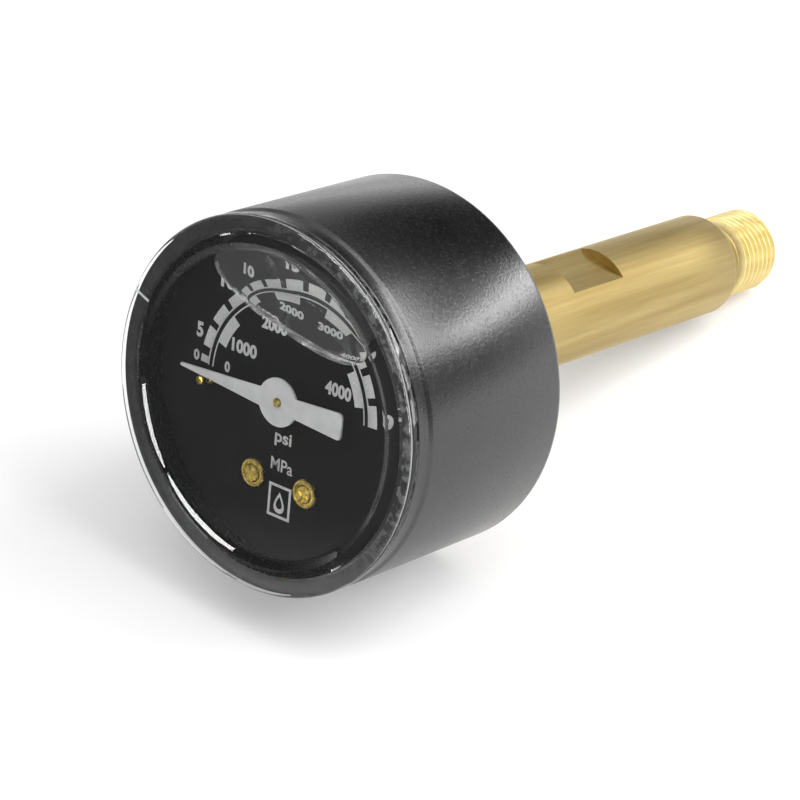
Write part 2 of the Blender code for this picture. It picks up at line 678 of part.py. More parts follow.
def main():
    clear_scene()
    model["parts"] = collection("pressure_gauge")
    model["cutters"] = collection("cutters")
    make_frame()
    make_case()
    make_window()
    make_window_seal()
    make_fill_plug()
    make_stem_seal()
    make_stem()
    make_restrictor()
    make_dial()
    make_stop_pin()
    make_front_plate()
    make_back_plate()
    for side, sign in (("left", -1), ("right", 1)):
        make_case_screw(side, sign * CASE_SCREW_X)
        make_dial_screw(side, sign * DIAL_SCREW_XY[0])
        make_dial_spacer(side, sign * DIAL_SCREW_XY[0])
        make_movement_screw(side, sign * MOVEMENT_SCREW_X)
    for side, place in pillar_places().items():
        make_pillar(side, place)
    make_pillar_screw()
    make_pointer()
    make_pinion_arbor()
    make_collet()
    make_hairspring()
    make_stud()
    make_sector()
    make_sector_arbor()
    make_link()
    make_link_pin("link_pin_sector", LINK_Z - 0.3, SECTOR_Z + SECTOR_T + 0.3, tail_pin_xy())
    make_link_pin("link_pin_tip", LINK_Z - 0.3, LINK_Z + LINK_T + 1.9, tip_pin_xy())
    make_bourdon_tube()
    make_tube_tip()


main()
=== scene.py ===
"""Look of the liquid-filled 40 mm pressure gauge with a centre-back brass stem.

The frame is the CAD's, in metres: the dial looks along -Y, +Z is up on the dial and +Y runs down the stem
to the thread. Pieces are drawn in millimetres on the gauge's own axes, x right, y up and z out of the dial,
where z is the distance in front of the stem's shoulder; world() turns such a point into the frame.
"""
import math

import bmesh
import bpy
from mathutils import Matrix, Vector

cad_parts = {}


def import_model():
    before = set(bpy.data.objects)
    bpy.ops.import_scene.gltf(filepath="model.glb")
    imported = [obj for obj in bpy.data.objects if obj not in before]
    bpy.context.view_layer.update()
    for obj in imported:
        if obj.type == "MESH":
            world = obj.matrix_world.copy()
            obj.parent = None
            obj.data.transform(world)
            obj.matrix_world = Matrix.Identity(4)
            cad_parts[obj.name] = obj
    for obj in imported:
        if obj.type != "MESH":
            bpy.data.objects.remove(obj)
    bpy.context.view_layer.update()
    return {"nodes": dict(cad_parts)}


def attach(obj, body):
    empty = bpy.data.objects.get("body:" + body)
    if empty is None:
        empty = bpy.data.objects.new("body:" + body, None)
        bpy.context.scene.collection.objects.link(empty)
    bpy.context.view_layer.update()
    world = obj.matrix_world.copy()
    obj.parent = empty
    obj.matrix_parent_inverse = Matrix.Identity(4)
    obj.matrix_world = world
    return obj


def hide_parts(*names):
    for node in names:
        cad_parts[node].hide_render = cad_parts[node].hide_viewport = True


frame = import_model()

MM = 0.001

# ---- dimensions from the CAD, millimetres --------------------------------------------------------------
CASE_R = 20.0
WINDOW_Z = 78.0               # front of the window's rim
STEP_R = (16.0, 17.1)         # foot and top of the round step in the window
STEP_DEPTH = 0.5
WINDOW_FLANGE = 1.0           # flange that laps the rim of the case
WINDOW_DISC = 1.1
INNER_Z = WINDOW_Z - STEP_DEPTH - WINDOW_DISC   # inner face of the window
GATE_ANGLE = math.radians(158.0)                # scar of the moulding gate on the rim
SKIRT_R = (16.8, 17.9)
DIAL_Z = 70.9
DIAL_T = 0.6
DIAL_R = 17.9
CASE_FRONT_Z = 76.5
CASE_BACK_Z = 53.7
CASE_FLOOR = 2.1
STEM_R = 5.95
THREAD_R = 4.864              # G 1/8
THREAD_PITCH = 0.907
THREAD_DEPTH = 0.55
THREAD_END = -8.5
NECK_R = 4.2
FLATS_HALF = 5.0
FLATS_Z = (22.8, 31.8)
FLATS_ROLL = math.radians(-15.0)
CASE_SCREW_X = 9.2
PLUG_Y = 14.0
POINTER_Z = 73.1
POINTER_T = 0.5
POINTER_TIP = 13.8
POINTER_TAIL = 8.7
HUB_R = 2.6
STOP_PIN = (-10.9, -1.0)
DIAL_SCREW = (3.6, -9.3)


def world(x, y, z):
    """A point on the gauge's own axes, in millimetres, as a point of the frame."""
    return Vector((x * MM, -z * MM, y * MM))


# ---- meshes --------------------------------------------------------------------------------------------
def new_object(name, mesh):
    obj = bpy.data.objects.new(name, mesh)
    bpy.context.scene.collection.objects.link(obj)
    return obj


def from_bmesh(name, work, weld=1e-6):
    """Object from a bmesh, welded and with its faces turned outward."""
    bmesh.ops.remove_doubles(work, verts=work.verts, dist=weld)
    bmesh.ops.dissolve_degenerate(work, edges=work.edges, dist=1e-7)
    bmesh.ops.recalc_face_normals(work, faces=work.faces)
    mesh = bpy.data.meshes.new(name)
    work.to_mesh(mesh)
    work.free()
    return new_object(name, mesh)


def lathe(name, profile, steps=160, centre=(0.0, 0.0), shape=None):
    """Solid of revolution about the gauge axis. shape(angle, r, z) may change the radius."""
    work = bmesh.new()
    rings = []
    for r, z in profile:
        ring = []
        for i in range(steps):
            angle = 2 * math.pi * i / steps
            radius = shape(angle, r, z) if shape else r
            ring.append(work.verts.new(world(centre[0] + radius * math.cos(angle),
                                             centre[1] + radius * math.sin(angle), z)))
        rings.append(ring)
    closed = profile[0][0] > 0.0
    pairs = list(zip(rings, rings[1:] + rings[:1])) if closed else list(zip(rings, rings[1:]))
    for low, high in pairs:
        for i in range(steps):
            j = (i + 1) % steps
            work.faces.new((low[i], low[j], high[j], high[i]))
    return from_bmesh(name, work)


def prism(name, outline, z_low, z_high, bevel=0.0):
    """Flat piece with the given outline between two heights, its front edge chamfered."""
    work = bmesh.new()
    count = len(outline)
    low = [work.verts.new(world(x, y, z_low)) for x, y in outline]
    high = [work.verts.new(world(x, y, z_high)) for x, y in outline]
    work.faces.new(low[::-1])
    front = work.faces.new(high)
    for i in range(count):
        j = (i + 1) % count
        work.faces.new((low[i], low[j], high[j], high[i]))
    if bevel:
        bmesh.ops.bevel(work, geom=list(front.edges), offset=bevel * MM, segments=2, profile=0.5,
                        affect="EDGES")
    return from_bmesh(name, work)


def box_cutter(name, size, where, roll=0.0):
    """Block on the gauge's own axes, turned by roll about the gauge axis."""
    half = [v / 2 for v in size]
    corners = [(-1, -1), (1, -1), (1, 1), (-1, 1)]
    cos, sin = math.cos(roll), math.sin(roll)
    outline = []
    for sx, sy in corners:
        x, y = sx * half[0], sy * half[1]
        outline.append((where[0] + x * cos - y * sin, where[1] + x * sin + y * cos))
    return prism(name, outline, where[2] - half[2], where[2] + half[2])


def drill(name, radius, span, centre=(0.0, 0.0), steps=24):
    """Round cutter along the gauge's axis between two heights."""
    low, high = span
    return lathe(name, [(0.0, low), (radius, low), (radius, high), (0.0, high)], steps, centre)


def cut(obj, *cutters, transfer=False):
    """Takes the cutters away from the object at once and removes them."""
    for cutter in cutters:
        step = obj.modifiers.new(cutter.name, "BOOLEAN")
        step.object = cutter
        step.operation = "DIFFERENCE"
        step.solver = "EXACT"
        if transfer:
            step.material_mode = "TRANSFER"
    depsgraph = bpy.context.evaluated_depsgraph_get()
    mesh = bpy.data.meshes.new_from_object(obj.evaluated_get(depsgraph))
    obj.modifiers.clear()
    obj.data = mesh
    for cutter in cutters:
        bpy.data.objects.remove(cutter, do_unlink=True)
    return obj


def copied(obj, name):
    """Second object with its own copy of the mesh."""
    twin = obj.copy()
    twin.data = obj.data.copy()
    twin.name = name
    bpy.context.scene.collection.objects.link(twin)
    return twin


def piece(obj, look, body, stands_for=(), sharp=32.0):
    """Smooths the mesh, gives it its material and ties it to its body."""
    obj.data.shade_smooth()
    obj.data.set_sharp_from_angle(angle=math.radians(sharp))
    if look is not None:
        obj.data.materials.clear()
        obj.data.materials.append(look)
    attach(obj, body)
    if stands_for:
        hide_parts(*stands_for)
    return obj


def arc(radius, start, end, count, centre=(0.0, 0.0)):
    """Points of an arc between two angles."""
    steps = [start + (end - start) * i / (count - 1) for i in range(count)]
    return [(centre[0] + radius * math.cos(a), centre[1] + radius * math.sin(a)) for a in steps]


# ---- materials -----------------------------------------------------------------------------------------
class Tree:
    """A node tree, with short ways to add nodes. A value is a socket to link, a number or a colour."""

    def __init__(self, tree):
        self.tree = tree

    def node(self, kind, **settings):
        made = self.tree.nodes.new(kind)
        for key, value in settings.items():
            setattr(made, key, value)
        return made

    def feed(self, value, socket):
        if isinstance(value, bpy.types.NodeSocket):
            self.tree.links.new(value, socket)
        elif isinstance(value, tuple) and len(value) == 3 and socket.type == "RGBA":
            socket.default_value = (*value, 1.0)
        else:
            socket.default_value = value

    def coords(self, output="Object"):
        return self.node("ShaderNodeTexCoord").outputs[output]

    def ray(self, kind):
        """1 for rays of the kind, such as "Is Camera Ray"."""
        return self.node("ShaderNodeLightPath").outputs[kind]

    def noise(self, scale, detail=3.0, stretch=(1.0, 1.0, 1.0), rough=0.5):
        """Noise over the object's own millimetres, stretched along its axes."""
        scaled = self.node("ShaderNodeMapping")
        scaled.inputs["Scale"].default_value = [v / MM for v in stretch]
        self.feed(self.coords(), scaled.inputs["Vector"])
        made = self.node("ShaderNodeTexNoise")
        for key, number in (("Scale", scale), ("Detail", detail), ("Roughness", rough)):
            made.inputs[key].default_value = number
        self.feed(scaled.outputs["Vector"], made.inputs["Vector"])
        return made.outputs["Fac"]

    def span(self, value, low, high, start=0.3, end=0.7, ease=False):
        """Maps start..end to low..high."""
        made = self.node("ShaderNodeMapRange")
        if ease:
            made.interpolation_type = "SMOOTHSTEP"
        for key, number in (("From Min", start), ("From Max", end), ("To Min", low), ("To Max", high)):
            made.inputs[key].default_value = number
        self.feed(value, made.inputs["Value"])
        return made.outputs["Result"]

    def along(self, vector, direction):
        """How far a vector goes in a direction."""
        made = self.node("ShaderNodeVectorMath", operation="DOT_PRODUCT")
        self.feed(vector, made.inputs[0])
        made.inputs[1].default_value = direction
        return made.outputs["Value"]

    def math(self, operation, first, second):
        made = self.node("ShaderNodeMath", operation=operation)
        self.feed(first, made.inputs[0])
        self.feed(second, made.inputs[1])
        return made.outputs[0]

    def mix(self, share, first, second, kind="MIX"):
        made = self.node("ShaderNodeMix", data_type="RGBA", blend_type=kind)
        self.feed(share, made.inputs[0])
        self.feed(first, made.inputs[6])
        self.feed(second, made.inputs[7])
        return made.outputs[2]

    def cover(self, share, under, over):
        """Shader that shows as much of the second as the share says."""
        made = self.node("ShaderNodeMixShader")
        for value, socket in zip((share, under, over), made.inputs):
            self.feed(value, socket)
        return made.outputs["Shader"]


class Look(Tree):
    """Principled material with its procedural nodes, all in the object's own space."""

    def __init__(self, name, color, roughness, metallic=0.0, specular=0.5):
        self.material = bpy.data.materials.new(name)
        self.material.use_nodes = True
        super().__init__(self.material.node_tree)
        self.shader = self.tree.nodes["Principled BSDF"]
        self.surface = self.tree.nodes["Material Output"].inputs["Surface"]
        self.set("Base Color", color)
        self.set("Roughness", roughness)
        self.set("Metallic", metallic)
        self.set("Specular IOR Level", specular)

    def set(self, socket, value):
        self.feed(value, self.shader.inputs[socket])

    def blend(self, value, first, second, start=0.3, end=0.7):
        return self.mix(self.span(value, 0.0, 1.0, start, end), first, second)

    def color(self, value, first, second, start=0.3, end=0.7):
        self.set("Base Color", self.blend(value, first, second, start, end))

    def roughness(self, value, low, high):
        self.set("Roughness", self.span(value, low, high))

    def bump(self, *layers):
        """Layers of (height, strength, depth in millimetres)."""
        normal = None
        for height, strength, depth in layers:
            made = self.node("ShaderNodeBump")
            made.inputs["Strength"].default_value = strength
            made.inputs["Distance"].default_value = depth * MM
            self.feed(height, made.inputs["Height"])
            if normal is not None:
                self.feed(normal, made.inputs["Normal"])
            normal = made.outputs["Normal"]
        self.set("Normal", normal)


def satin_black():
    """Fine-grained black of the case, a little uneven in gloss, with sparse pale specks."""
    look = Look("case_satin_black", (0.004, 0.004, 0.0045), 0.24, specular=1.0)
    grain, cloud = look.noise(3.6, 2.0), look.noise(0.25, 4.0)
    specks = look.span(look.noise(9.0, 1.0), 0.0, 1.0, 0.7, 0.8)
    black = look.blend(cloud, (0.003, 0.003, 0.0033), (0.006, 0.006, 0.0064))
    look.set("Base Color", look.mix(specks, black, (0.12, 0.12, 0.12)))
    look.roughness(look.noise(2.4, 4.0), 0.2, 0.29)
    look.bump((cloud, 0.02, 0.1), (grain, 0.6, 0.03))
    return look.material


def dial_paint():
    """Matt black of the dial, almost without shine under the liquid."""
    look = Look("dial_matt_black", (0.004, 0.004, 0.004), 0.6, specular=0.05)
    grain = look.noise(9.0, 3.0)
    look.color(grain, (0.0025, 0.0025, 0.003), (0.006, 0.006, 0.006))
    look.roughness(look.noise(1.5), 0.5, 0.7)
    look.bump((grain, 0.15, 0.008))
    return look.material


def print_white():
    """Screen print of the scales and numerals, greyer than the pointer and a little patchy."""
    look = Look("dial_print_white", (0.5, 0.5, 0.5), 0.5, specular=0.2)
    patch = look.noise(4.0, 4.0)
    look.color(patch, (0.46, 0.46, 0.46), (0.6, 0.6, 0.595))
    look.bump((look.noise(12.0), 0.2, 0.01))
    return look.material


def pointer_paint():
    """White stove enamel of the pointer."""
    look = Look("pointer_white", (0.66, 0.66, 0.66), 0.5, specular=0.15)
    patch = look.noise(0.8, 4.0)
    look.color(patch, (0.56, 0.56, 0.56), (0.64, 0.64, 0.635))
    look.roughness(patch, 0.45, 0.6)
    look.bump((look.noise(6.0), 0.15, 0.02))
    return look.material


def drawn_brass():
    """Bar stock: streaks along the stem, faint tool marks round it, and the cut thread brighter, partly as
    fresh-cut brass and partly as painted light where the thread lies in shade near the floor.
    """
    look = Look("stem_drawn_brass", (0.64, 0.48, 0.2), 0.5, 1.0)
    look.set("Anisotropic", 0.85)
    look.set("Tangent", look.node("ShaderNodeTangent", direction_type="RADIAL", axis="Y").outputs["Tangent"])
    streak = look.noise(1.0, 5.0, (5.0, 0.12, 5.0), 0.6)
    patch = look.noise(0.7, 4.0, (1.0, 0.04, 1.0), 0.5)
    bar = look.mix(1.0, look.blend(streak, (0.44, 0.33, 0.13), (0.54, 0.425, 0.19)),
                   look.blend(patch, (0.8, 0.76, 0.68), (1.0, 1.0, 1.0), 0.36, 0.62), "MULTIPLY")
    # painted light: the thread's colour is raised over the bar's to stand in for light it lacks in the shade
    # near the floor, on top of the paler tone of fresh-cut brass
    fresh_and_painted_light = look.blend(patch, (0.8, 0.64, 0.28), (0.95, 0.8, 0.4))
    threaded = look.span(look.along(look.coords(), (0.0, 1.0, 0.0)), 0.0, 1.0, 0.0012, 0.0016)
    look.set("Base Color", look.mix(threaded, bar, fresh_and_painted_light))
    look.roughness(streak, 0.4, 0.54)
    look.bump((streak, 0.6, 0.04), (look.noise(2.0, 2.0, (0.15, 8.0, 0.15)), 0.12, 0.01))
    return look.material


def turned_brass():
    """Turned brass of screws, pins, pillars and arbors."""
    look = Look("turned_brass", (0.6, 0.46, 0.12), 0.26, 1.0)
    mark = look.noise(1.2, 3.0)
    look.color(mark, (0.46, 0.34, 0.07), (0.72, 0.56, 0.17))
    look.roughness(mark, 0.2, 0.32)
    look.bump((look.noise(6.0), 0.12, 0.006))
    return look.material


def rolled_brass():
    """Sheet brass of the movement, with the grain of the rolling."""
    look = Look("movement_sheet_brass", (0.74, 0.55, 0.24), 0.32, 1.0)
    grain = look.noise(1.0, 4.0, (0.4, 3.0, 9.0))
    look.color(grain, (0.66, 0.48, 0.2), (0.8, 0.6, 0.28))
    look.roughness(grain, 0.24, 0.4)
    look.bump((grain, 0.25, 0.02))
    return look.material


def tube_bronze():
    """Stained bronze of the Bourdon tube and the hairspring."""
    look = Look("tube_bronze", (0.66, 0.4, 0.2), 0.3, 1.0)
    stain = look.noise(0.6, 5.0)
    look.color(stain, (0.55, 0.3, 0.14), (0.74, 0.48, 0.26))
    look.roughness(stain, 0.22, 0.42)
    look.bump((look.noise(5.0), 0.2, 0.02))
    return look.material


def screw_steel():
    """Plain steel of the small screws, with fine scratches."""
    look = Look("screw_steel", (0.6, 0.6, 0.59), 0.35, 1.0)
    mark = look.noise(2.5, 4.0)
    look.color(mark, (0.5, 0.5, 0.5), (0.68, 0.68, 0.66))
    look.roughness(mark, 0.28, 0.45)
    look.bump((look.noise(9.0), 0.2, 0.015))
    return look.material


def seal_rubber():
    """Black rubber with a little dust on it."""
    look = Look("seal_rubber", (0.016, 0.016, 0.016), 0.62)
    dust = look.noise(1.6, 5.0)
    look.color(dust, (0.012, 0.012, 0.012), (0.03, 0.03, 0.029))
    look.roughness(dust, 0.55, 0.75)
    look.bump((look.noise(6.0), 0.3, 0.03))
    return look.material


def clear_look(name, tint, ior, roughness=0.0, wave=0.0):
    """Clear solid that bends what is seen and lets lamps through to what lies behind it."""
    look = Look(name, tint, roughness)
    look.set("Transmission Weight", 1.0)
    look.set("IOR", ior)
    if wave:
        look.bump((look.noise(0.18, 2.0), wave, 0.1), (look.noise(2.5, 3.0), 0.02, 0.01))
    through = look.node("ShaderNodeBsdfTransparent")
    through.inputs["Color"].default_value = (*[t * 0.96 for t in tint], 1.0)
    look.feed(look.cover(look.ray("Is Shadow Ray"), look.shader.outputs["BSDF"], through.outputs["BSDF"]),
              look.surface)
    return look.material


def film_look(base, name, low, high, scale, stretch=(1.0, 1.0, 1.0)):
    """The base look under a faint film that scatters a little light, uneven from place to place."""
    made = base.copy()
    made.name = name
    tree = Tree(made.node_tree)
    surface = made.node_tree.nodes["Material Output"].inputs["Surface"]
    under = surface.links[0].from_socket
    share = tree.span(tree.noise(scale, 2.0, stretch), low, high, 0.35, 0.7)
    film = tree.node("ShaderNodeBsdfDiffuse")
    film.inputs["Color"].default_value = (0.9, 0.9, 0.9, 1.0)
    tree.feed(tree.cover(share, under, film.outputs["BSDF"]), surface)
    return made


def wetted_look():
    """Where the liquid touches the window the two pass light alike, so that face does not show."""
    look = Look("wetted_face", (1.0, 1.0, 1.0), 0.0)
    look.feed(look.node("ShaderNodeBsdfTransparent").outputs["BSDF"], look.surface)
    return look.material


# ---- window, liquid and the air bubble in it -----------------------------------------------------------
BUBBLE_MID = (1.8, 11.22)     # middle of the chord of the dry patch on the window
BUBBLE_HALF = 10.65           # half of that chord
BUBBLE_SLOPE = math.atan2(9.05 - 13.4, 12.2 + 8.6)
BUBBLE_SAG = 2.4              # how far the liquid's edge sags below the chord
MENISCUS = (0.45, 0.35)       # how far the liquid's edge on the window spreads down and up
GRAVITY_RISE = 0.246          # how far the level rises for each millimetre deeper


def bubble_lower(u, depth):
    """Height of the liquid's edge over the chord of the dry patch, u along it and depth behind the window."""
    across = min(1.0, abs(u) / BUBBLE_HALF)
    near, far = math.exp(-depth / 0.6), math.exp(-(INNER_Z - DIAL_Z - depth) / 0.5)
    belly = (-0.8 * (1.0 - near) + 0.5 * far) * (1.0 - across ** 4)
    return -BUBBLE_SAG * (1.0 - across ** 2.6) ** (1 / 2.2) + GRAVITY_RISE * depth + belly


def bubble_point(u, v):
    """Point of the dial's axes from its place along and above the chord of the bubble."""
    cos, sin = math.cos(BUBBLE_SLOPE), math.sin(BUBBLE_SLOPE)
    return BUBBLE_MID[0] + u * cos - v * sin, BUBBLE_MID[1] + u * sin + v * cos


def meniscus_cutter(look, count=72):
    """Shallow strip of the window where the liquid creeps up the face under the bubble."""
    under, over = [], []
    for i in range(count + 1):
        u = -0.985 * BUBBLE_HALF * math.cos(math.pi * i / count)
        along = u / BUBBLE_HALF
        fade = (1.0 - abs(along) ** 6) * min(1.0, 0.15 + (along + 1.0) / 0.9)
        edge = bubble_lower(u, 0.0)
        under.append(bubble_point(u, edge - MENISCUS[0] * fade))
        over.append(bubble_point(u, edge + MENISCUS[1] * fade))
    strip = prism("meniscus_strip", under + over[::-1], INNER_Z - 0.02, INNER_Z + 0.014)
    strip.data.materials.append(look)
    return strip


def bubble_section(depth, count=72):
    """Closed outline of the bubble at a depth behind the window's inner face."""
    cos, sin = math.cos(BUBBLE_SLOPE), math.sin(BUBBLE_SLOPE)
    top_r = SKIRT_R[0] + 0.01 - 0.25 * (1.0 - min(1.0, depth / 0.8)) ** 2

    def level(u):
        return bubble_lower(u, depth)

    def roof(u):
        """Height over the chord of the circle of the skirt."""
        ox, oy = -BUBBLE_MID[0], -BUBBLE_MID[1]
        cu, cv = ox * cos + oy * sin, -ox * sin + oy * cos
        inside = top_r ** 2 - (u - cu) ** 2
        return cv + math.sqrt(max(inside, 0.0))

    lower, upper = [], []
    for i in range(count + 1):
        u = -BUBBLE_HALF * math.cos(math.pi * i / count)
        low, high = level(u), roof(u)
        if high - low < 0.02:
            middle = (high + low) / 2
            low, high = middle - 0.01, middle + 0.01
        lower.append(bubble_point(u, low))
        upper.append(bubble_point(u, high))
    return lower + upper[::-1]


def bubble_body():
    """The air: a stack of sections from the window back to a film of liquid on the dial."""
    depths = [-0.01, 0.05, 0.12, 0.22, 0.35, 0.5, 0.7, 0.95, 1.3, 1.8, 2.4, 3.0, 3.6, 4.2, 4.6, 4.9, 5.1]
    depths += [5.25, 5.35, 5.43]
    work = bmesh.new()
    rings = []
    for depth in depths:
        ring = [work.verts.new(world(x, y, INNER_Z - depth)) for x, y in bubble_section(max(depth, 0.0))]
        rings.append(ring)
    count = len(rings[0])
    for near, far in zip(rings, rings[1:]):
        for i in range(count):
            j = (i + 1) % count
            work.faces.new((near[i], near[j], far[j], far[i]))
    work.faces.new(rings[0][::-1])
    work.faces.new(rings[-1])
    return from_bmesh("bubble", work, 2e-6)


def window_profile():
    front, inner = WINDOW_Z, WINDOW_Z - STEP_DEPTH
    foot, top = STEP_R
    step = []
    for i in range(13):
        share = i / 12
        ease = share * share * (3 - 2 * share)
        step.append((foot + (top - foot) * share, inner + STEP_DEPTH * (0.55 * ease + 0.45 * share ** 2)))
    corner = [(CASE_R - 0.45 + x, front - 0.45 + z) for x, z in arc(0.45, math.pi / 2, 0.0, 9)]
    back = WINDOW_Z - WINDOW_FLANGE
    skirt_end = DIAL_Z + 0.3
    profile = [(0.0, inner)] + step + corner
    profile += [(CASE_R, back + 0.12), (CASE_R - 0.12, back), (SKIRT_R[1] + 0.15, back),
                (SKIRT_R[1], back - 0.15), (SKIRT_R[1], skirt_end), (SKIRT_R[0], skirt_end)]
    profile += [(SKIRT_R[0], INNER_Z), (0.0, INNER_Z)]
    return profile


def mark_faces(obj, index, test, side=lambda x, y: True):
    """Gives the material slot index to each face whose centre, on the gauge's own axes, passes both tests."""
    for face in obj.data.polygons:
        c = face.center
        x, y, z = c.x / MM, c.z / MM, -c.y / MM
        if test(math.hypot(x, y), z) and side(x, y):
            face.material_index = index


def make_window_and_liquid(clear, wetted, liquid):
    window = lathe("window_fine", window_profile(), 240)
    window.data.materials.append(clear)
    window.data.materials.append(wetted)
    window.data.materials.append(film_look(wetted, "skirt_moulded_face", 0.05, 0.12, 1.2, (1.0, 0.3, 1.0)))
    gate_r = 18.9
    where = (gate_r * math.cos(GATE_ANGLE), gate_r * math.sin(GATE_ANGLE), WINDOW_Z + 0.08)
    gate = box_cutter("gate", (2.4, 0.22, 0.5), where, GATE_ANGLE)
    gate.data.materials.append(film_look(clear, "gate_scar", 0.5, 0.8, 3.0))
    cut(window, gate, transfer=True)
    mark_faces(window, 1, lambda r, z: z < INNER_Z + 0.02 and r < SKIRT_R[1] + 0.02)
    mark_faces(window, 2, lambda r, z: z < WINDOW_Z - 1.2 and SKIRT_R[1] - 0.06 < r < SKIRT_R[1] + 0.02,
               lambda x, y: 0.55 * x + 0.83 * y > 9.0)
    bubble = bubble_body()
    bubble.data.materials.append(film_look(clear, "window_dry_face", 0.02, 0.038, 2.2))
    strip = meniscus_cutter(film_look(wetted, "meniscus_edge", 0.1, 0.34, 1.1, (0.5, 1.0, 2.2)))
    cut(window, copied(bubble, "bubble_in_window"), strip, transfer=True)
    piece(window, None, "housing", ["window"])

    top, foot = INNER_Z, DIAL_Z + 0.02
    fill = lathe("liquid_fill", [(0.0, top), (SKIRT_R[0], top), (SKIRT_R[0], foot), (0.0, foot)], 240)
    fill.data.materials.append(wetted)
    bubble.data.materials.clear()
    bubble.data.materials.append(liquid)
    bubble.data.materials.append(film_look(liquid, "meniscus", 0.08, 0.16, 2.0))
    for face in bubble.data.polygons:
        depth = INNER_Z + face.center.y / MM
        if 0.0 < depth < 0.5 and face.normal.z < -0.2:
            face.material_index = 1
    cut(fill, bubble, transfer=True)
    piece(fill, None, "housing", sharp=50.0)


def joint_bead():
    """Jointing compound under the rim of the window: black, and mottled with grey at the upper right."""
    look = Look("joint_bead", (0.1, 0.1, 0.1), 0.7, specular=0.06)
    patch, fleck = look.noise(1.1, 5.0, rough=0.7), look.noise(3.0, 3.0)
    spread = look.span(look.along(look.coords(), (0.9, 0.0, 0.44)), 0.0, 1.0, 0.006, 0.016)
    grey = look.mix(spread, (0.012, 0.012, 0.012), (0.085, 0.085, 0.085))
    look.color(patch, (0.003, 0.003, 0.003), grey, 0.47, 0.56)
    look.roughness(fleck, 0.6, 0.85)
    look.bump((patch, 0.6, 0.1), (fleck, 0.5, 0.05))
    return look.material


def make_seal(look):
    low, high = CASE_FRONT_Z + 0.02, WINDOW_Z - WINDOW_FLANGE - 0.02
    middle = (low + high) / 2
    profile = [(18.4, low), (19.6, low), (19.72, low + 0.06), (19.76, middle), (19.72, high - 0.06),
               (19.6, high), (18.4, high)]
    return piece(lathe("window_seal_fine", profile[::-1], 240), look, "housing", ["window_seal"])


# ---- case ----------------------------------------------------------------------------------------------
def make_case(look):
    z0, z1 = CASE_BACK_Z, CASE_FRONT_Z
    edge, band = 0.9, 0.3
    corner = [(CASE_R - edge + x, z0 + edge + z) for x, z in arc(edge, 0.0, -math.pi / 2, 11)]
    mouth = [(CASE_R - band - 0.2 + x, z1 - 0.2 + z) for x, z in arc(0.2, math.pi / 2, 0.0, 5)]
    shoulder = [(CASE_R - band, z1 - 1.42), (CASE_R - band + 0.04, z1 - 1.5), (CASE_R - 0.05, z1 - 1.78),
                (CASE_R, z1 - 1.9)]
    seat = DIAL_Z - DIAL_T - 0.2
    profile = mouth + shoulder + corner
    profile += [(6.55, z0), (6.25, z0 + 0.3), (6.25, z0 + CASE_FLOOR), (17.2, z0 + CASE_FLOOR),
                (17.2, seat), (18.2, seat), (18.2, z1)]
    case = lathe("case_fine", profile, 240)
    cutters = []
    for x in (-CASE_SCREW_X, CASE_SCREW_X):
        cutters.append(drill("screw_hole", 1.15, (z0 - 1, z0 + 4), (x, 0.0), 32))
        cutters.append(lathe("screw_recess", [(0.0, z0 - 1), (2.35, z0 - 1), (2.35, z0), (2.1, z0 + 0.2),
                                              (2.1, z0 + 1.1), (0.0, z0 + 1.1)], 48, (x, 0.0)))
    cutters.append(drill("fill_hole", 2.45, (z0 - 1, z0 + 4), (0.0, PLUG_Y), 48))
    cut(case, *cutters)
    return piece(case, look, "housing", ["case"])


# ---- stem ----------------------------------------------------------------------------------------------
def thread_radius(angle, z, lead_in, run_out):
    """Radius of a rounded 55 degree thread, faded out at both of its ends."""
    phase = (z / THREAD_PITCH - angle / (2 * math.pi)) % 1.0
    wave = abs(2 * phase - 1)
    height = max(0.0, min(1.0, (wave - 0.12) / 0.76))
    height = height * height * (3 - 2 * height)
    fade = max(0.0, min(1.0, (z - lead_in) / 0.5)) * max(0.0, min(1.0, (run_out - z) / 0.4))
    return THREAD_R - THREAD_DEPTH * (1.0 - height) * fade


def stem_profile():
    z_flange = (CASE_BACK_Z + CASE_FLOOR + 1.0, CASE_BACK_Z + CASE_FLOOR + 2.4)
    profile = [(0.0, 62.5), (5.2, 62.5), (5.5, 62.2), (5.5, z_flange[1]), (11.1, z_flange[1]),
               (11.2, z_flange[1] - 0.1), (11.2, z_flange[0]), (STEM_R, z_flange[0])]
    low, high = FLATS_Z
    profile += [(STEM_R, 50.0), (STEM_R, 42.0), (STEM_R, high + 0.012), (STEM_R, high)]
    profile += [(STEM_R, high - (high - low) * i / 8) for i in range(1, 9)]
    profile += [(STEM_R, low - 0.012), (STEM_R, 16.0), (STEM_R, 9.0), (STEM_R, 1.95), (STEM_R - 0.06, 1.75),
                (STEM_R - 0.92, 0.1), (STEM_R - 1.05, 0.0), (NECK_R + 0.1, 0.0), (NECK_R, -0.1),
                (NECK_R, -1.15), (NECK_R + 0.05, -1.25)]
    start, end = -1.7, THREAD_END + 0.5
    rows = 96
    profile += [(THREAD_R, start + (end - start) * i / rows) for i in range(rows + 1)]
    profile += [(THREAD_R - 0.6, THREAD_END), (2.0, THREAD_END), (1.5, THREAD_END + 0.4), (1.5, 50.0),
                (0.0, 50.9)]
    return profile


